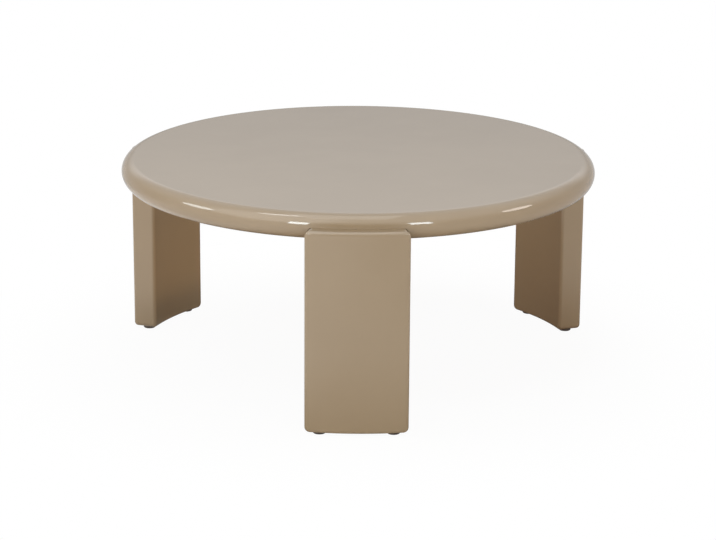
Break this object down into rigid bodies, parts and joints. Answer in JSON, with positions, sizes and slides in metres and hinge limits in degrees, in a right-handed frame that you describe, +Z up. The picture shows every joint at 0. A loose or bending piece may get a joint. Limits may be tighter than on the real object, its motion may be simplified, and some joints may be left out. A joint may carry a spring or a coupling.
{
  "type": "round cocktail table",
  "caption": "Low round table with a thick, half-round-edged top on curved slab legs that stand proud of its rim, with screw-out levelling glides under the legs.",
  "frame": {"origin": "on the table's axis at floor level, in the plane of the glide pads' undersides when they are screwed right in", "axes": "+Z up along the table's axis, -Y towards the front leg, +X to the right of someone who faces the front leg"},
  "size_m": [0.914, 0.938, 0.406],
  "materials": {
    "top_lacquer": "gloss taupe lacquer on board",
    "leg_lacquer": "satin-gloss taupe lacquer on board",
    "dowel_wood": "bare beech",
    "bracket_steel": "black powder coat",
    "fastener_steel": "bright zinc plate",
    "insert_brass": "bare brass",
    "glide_plastic": "dark brown nylon"
  },
  "bodies": {
    "table": {"top_panel": "top_lacquer", "build_up_ring": "top_lacquer", "front_leg": "leg_lacquer", "back_right_leg": "leg_lacquer", "back_left_leg": "leg_lacquer", "front_bracket": "bracket_steel", "back_right_bracket": "bracket_steel", "back_left_bracket": "bracket_steel", "leg_dowels": "dowel_wood", "bracket_bolts": "fastener_steel", "bracket_washers": "fastener_steel", "threaded_inserts": "insert_brass", "glide_nuts": "fastener_steel"},
    "front_leg_left_pad": {"front_leg_left_pad": "glide_plastic"},
    "front_leg_left_stud": {"front_leg_left_stud": "fastener_steel"},
    "front_leg_right_pad": {"front_leg_right_pad": "glide_plastic"},
    "front_leg_right_stud": {"front_leg_right_stud": "fastener_steel"},
    "back_right_leg_left_pad": {"back_right_leg_left_pad": "glide_plastic"},
    "back_right_leg_left_stud": {"back_right_leg_left_stud": "fastener_steel"},
    "back_right_leg_right_pad": {"back_right_leg_right_pad": "glide_plastic"},
    "back_right_leg_right_stud": {"back_right_leg_right_stud": "fastener_steel"},
    "back_left_leg_left_pad": {"back_left_leg_left_pad": "glide_plastic"},
    "back_left_leg_left_stud": {"back_left_leg_left_stud": "fastener_steel"},
    "back_left_leg_right_pad": {"back_left_leg_right_pad": "glide_plastic"},
    "back_left_leg_right_stud": {"back_left_leg_right_stud": "fastener_steel"}
  },
  "joints": [
    {"name": "front_leg_left_pad_travel", "type": "slide", "parent": "table", "child": "front_leg_left_pad", "axis": [0, 0, -1], "range_m": [0, 0.01]},
    {"name": "front_leg_left_stud_turn", "type": "hinge", "parent": "front_leg_left_pad", "child": "front_leg_left_stud", "pos_m": [-0.067, -0.45206, 0], "axis": [0, 0, -1], "range_deg": [0, 2880]},
    {"name": "front_leg_right_pad_travel", "type": "slide", "parent": "table", "child": "front_leg_right_pad", "axis": [0, 0, -1], "range_m": [0, 0.01]},
    {"name": "front_leg_right_stud_turn", "type": "hinge", "parent": "front_leg_right_pad", "child": "front_leg_right_stud", "pos_m": [0.067, -0.45206, 0], "axis": [0, 0, -1], "range_deg": [0, 2880]},
    {"name": "back_right_leg_left_pad_travel", "type": "slide", "parent": "table", "child": "back_right_leg_left_pad", "axis": [0, 0, -1], "range_m": [0, 0.01]},
    {"name": "back_right_leg_left_stud_turn", "type": "hinge", "parent": "back_right_leg_left_pad", "child": "back_right_leg_left_stud", "pos_m": [0.425, 0.16801, 0], "axis": [0, 0, -1], "range_deg": [0, 2880]},
    {"name": "back_right_leg_right_pad_travel", "type": "slide", "parent": "table", "child": "back_right_leg_right_pad", "axis": [0, 0, -1], "range_m": [0, 0.01]},
    {"name": "back_right_leg_right_stud_turn", "type": "hinge", "parent": "back_right_leg_right_pad", "child": "back_right_leg_right_stud", "pos_m": [0.358, 0.28406, 0], "axis": [0, 0, -1], "range_deg": [0, 2880]},
    {"name": "back_left_leg_left_pad_travel", "type": "slide", "parent": "table", "child": "back_left_leg_left_pad", "axis": [0, 0, -1], "range_m": [0, 0.01]},
    {"name": "back_left_leg_left_stud_turn", "type": "hinge", "parent": "back_left_leg_left_pad", "child": "back_left_leg_left_stud", "pos_m": [-0.358, 0.28406, 0], "axis": [0, 0, -1], "range_deg": [0, 2880]},
    {"name": "back_left_leg_right_pad_travel", "type": "slide", "parent": "table", "child": "back_left_leg_right_pad", "axis": [0, 0, -1], "range_m": [0, 0.01]},
    {"name": "back_left_leg_right_stud_turn", "type": "hinge", "parent": "back_left_leg_right_pad", "child": "back_left_leg_right_stud", "pos_m": [-0.425, 0.16801, 0], "axis": [0, 0, -1], "range_deg": [0, 2880]}
  ],
  "couplings": [
    {"joint": "front_leg_left_pad_travel", "follows": "front_leg_left_stud_turn", "m_per_rad": 0.00019894},
    {"joint": "front_leg_right_pad_travel", "follows": "front_leg_right_stud_turn", "m_per_rad": 0.00019894},
    {"joint": "back_right_leg_left_pad_travel", "follows": "back_right_leg_left_stud_turn", "m_per_rad": 0.00019894},
    {"joint": "back_right_leg_right_pad_travel", "follows": "back_right_leg_right_stud_turn", "m_per_rad": 0.00019894},
    {"joint": "back_left_leg_left_pad_travel", "follows": "back_left_leg_left_stud_turn", "m_per_rad": 0.00019894},
    {"joint": "back_left_leg_right_pad_travel", "follows": "back_left_leg_right_stud_turn", "m_per_rad": 0.00019894}
  ]
}
